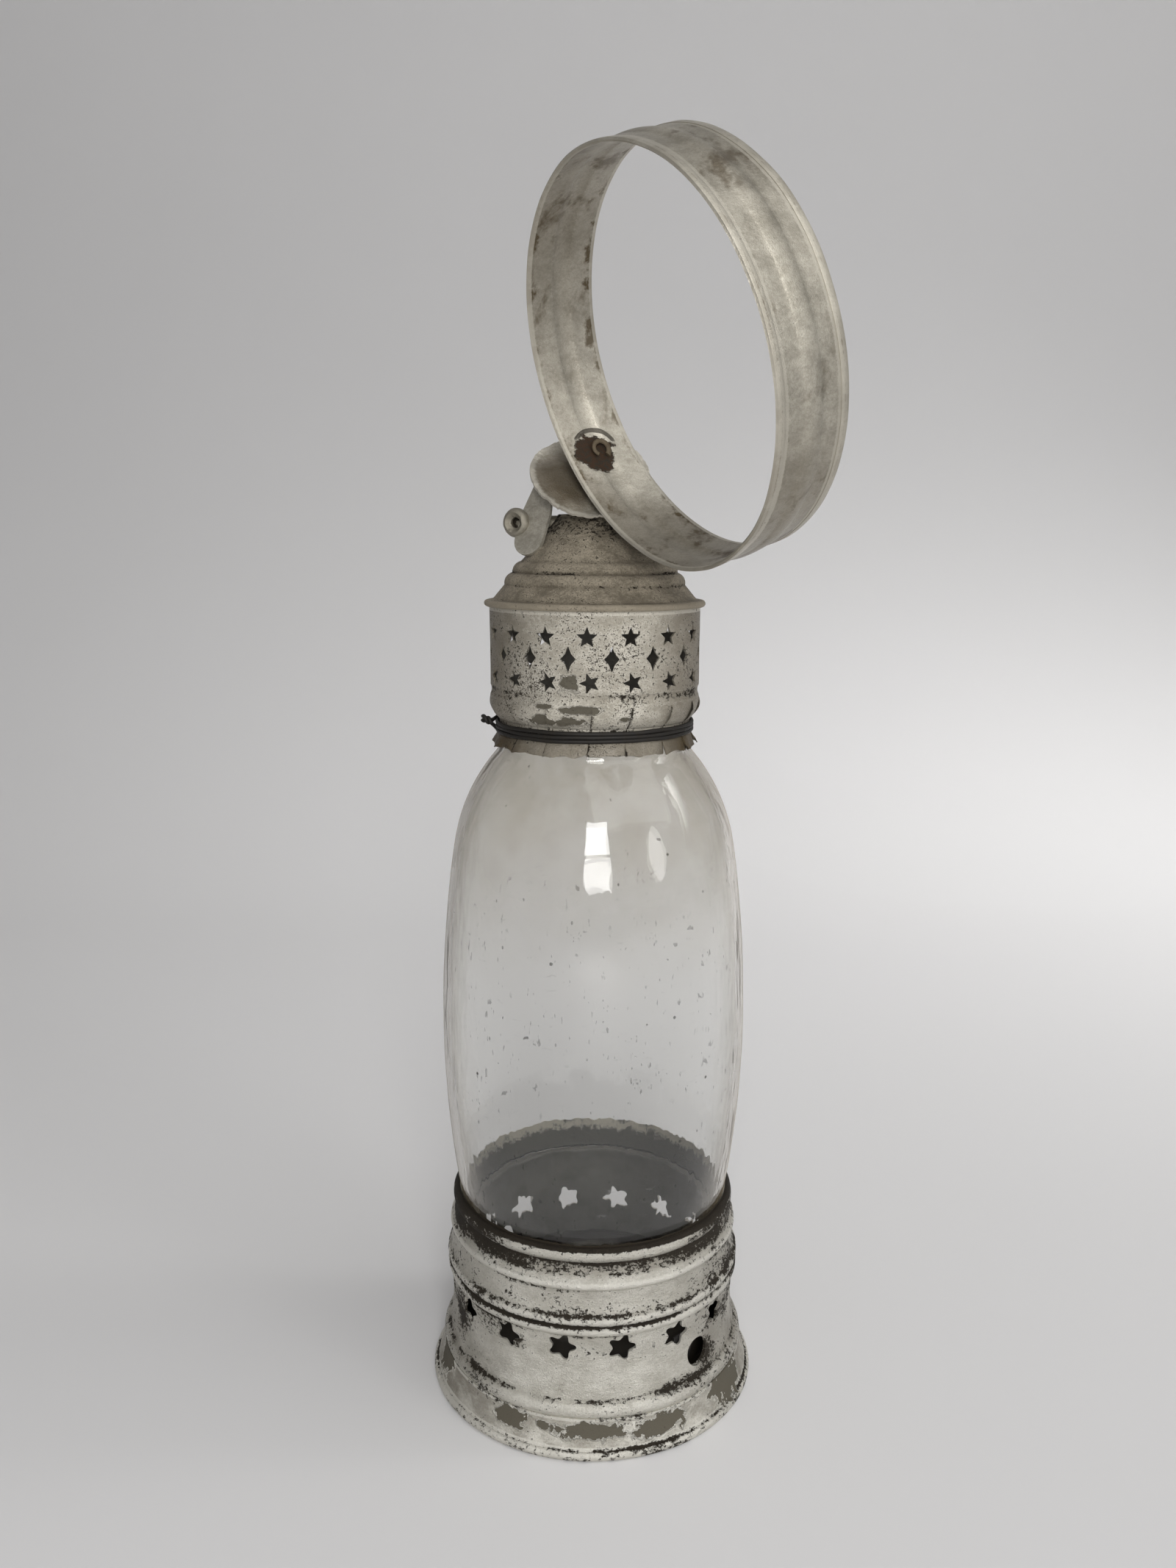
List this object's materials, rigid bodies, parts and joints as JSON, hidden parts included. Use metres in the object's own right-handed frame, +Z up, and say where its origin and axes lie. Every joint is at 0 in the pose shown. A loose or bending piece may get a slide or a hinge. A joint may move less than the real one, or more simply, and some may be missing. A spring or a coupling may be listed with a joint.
{
  "type": "hand lantern",
  "caption": "Tin hand lantern: fixed barrel glass globe on a star-pierced base with a drop-in oil font, pierced vent band, conical cap and a tilting strap ring handle.",
  "frame": {"origin": "centre of the circle that the foot stands on", "axes": "+Z up, front towards -Y, +X to the right as seen from the front"},
  "size_m": [0.1213, 0.169, 0.403],
  "materials": {
    "tin_paint": "worn silver paint, pitted",
    "bare_tin": "dull tinned iron",
    "rusty_tin": "rusted",
    "iron_wire": "black annealed wire",
    "globe_glass": "clear, scratched",
    "plaster": "rough plaster",
    "burner_brass": "tarnished",
    "wick_cotton": "woven cotton",
    "spring_steel": "darkened"
  },
  "bodies": {
    "lantern": {"foot_ring": "tin_paint", "base_shell": "tin_paint", "globe_seat": "bare_tin", "globe": "globe_glass", "plaster_bed": "plaster", "vent_band": "tin_paint", "binding_wire": "iron_wire", "cone_cap": "tin_paint", "leg_left": "tin_paint", "leg_right": "tin_paint", "cross_rod": "bare_tin", "hinge_wire": "iron_wire"},
    "handle": {"smoke_disc": "tin_paint", "disc_knuckle": "tin_paint", "ring_strap": "tin_paint", "ring_boss": "bare_tin", "ring_rivet": "rusty_tin"},
    "font": {"font_cup": "bare_tin", "font_flange": "bare_tin", "font_lid": "bare_tin", "burner_collar": "burner_brass", "burner_plate": "burner_brass", "wick_tube_left": "burner_brass", "wick_left": "wick_cotton", "wick_tube_right": "burner_brass", "wick_right": "wick_cotton"},
    "catch_left": {"catch_spring_left": "spring_steel", "catch_nose_left": "spring_steel"},
    "catch_right": {"catch_spring_right": "spring_steel", "catch_nose_right": "spring_steel"}
  },
  "joints": [
    {"name": "handle_tilt", "type": "hinge", "parent": "lantern", "child": "handle", "pos_m": [0, 0, 0.3112], "axis": [-0.9848, -0.1736, 0], "range_deg": [0, 94]},
    {"name": "font_drop", "type": "slide", "parent": "lantern", "child": "font", "axis": [0, 0, -1], "range_m": [0, 0.042]},
    {"name": "catch_left_press", "type": "hinge", "parent": "font", "child": "catch_left", "pos_m": [-0.02942, 0.02942, 0.0147], "axis": [0.7071, 0.7071, 0], "range_deg": [0, 5], "stiffness_Nm_per_rad": 0.25},
    {"name": "catch_right_press", "type": "hinge", "parent": "font", "child": "catch_right", "pos_m": [0.02942, -0.02942, 0.0147], "axis": [-0.7071, -0.7071, 0], "range_deg": [0, 5], "stiffness_Nm_per_rad": 0.25}
  ]
}
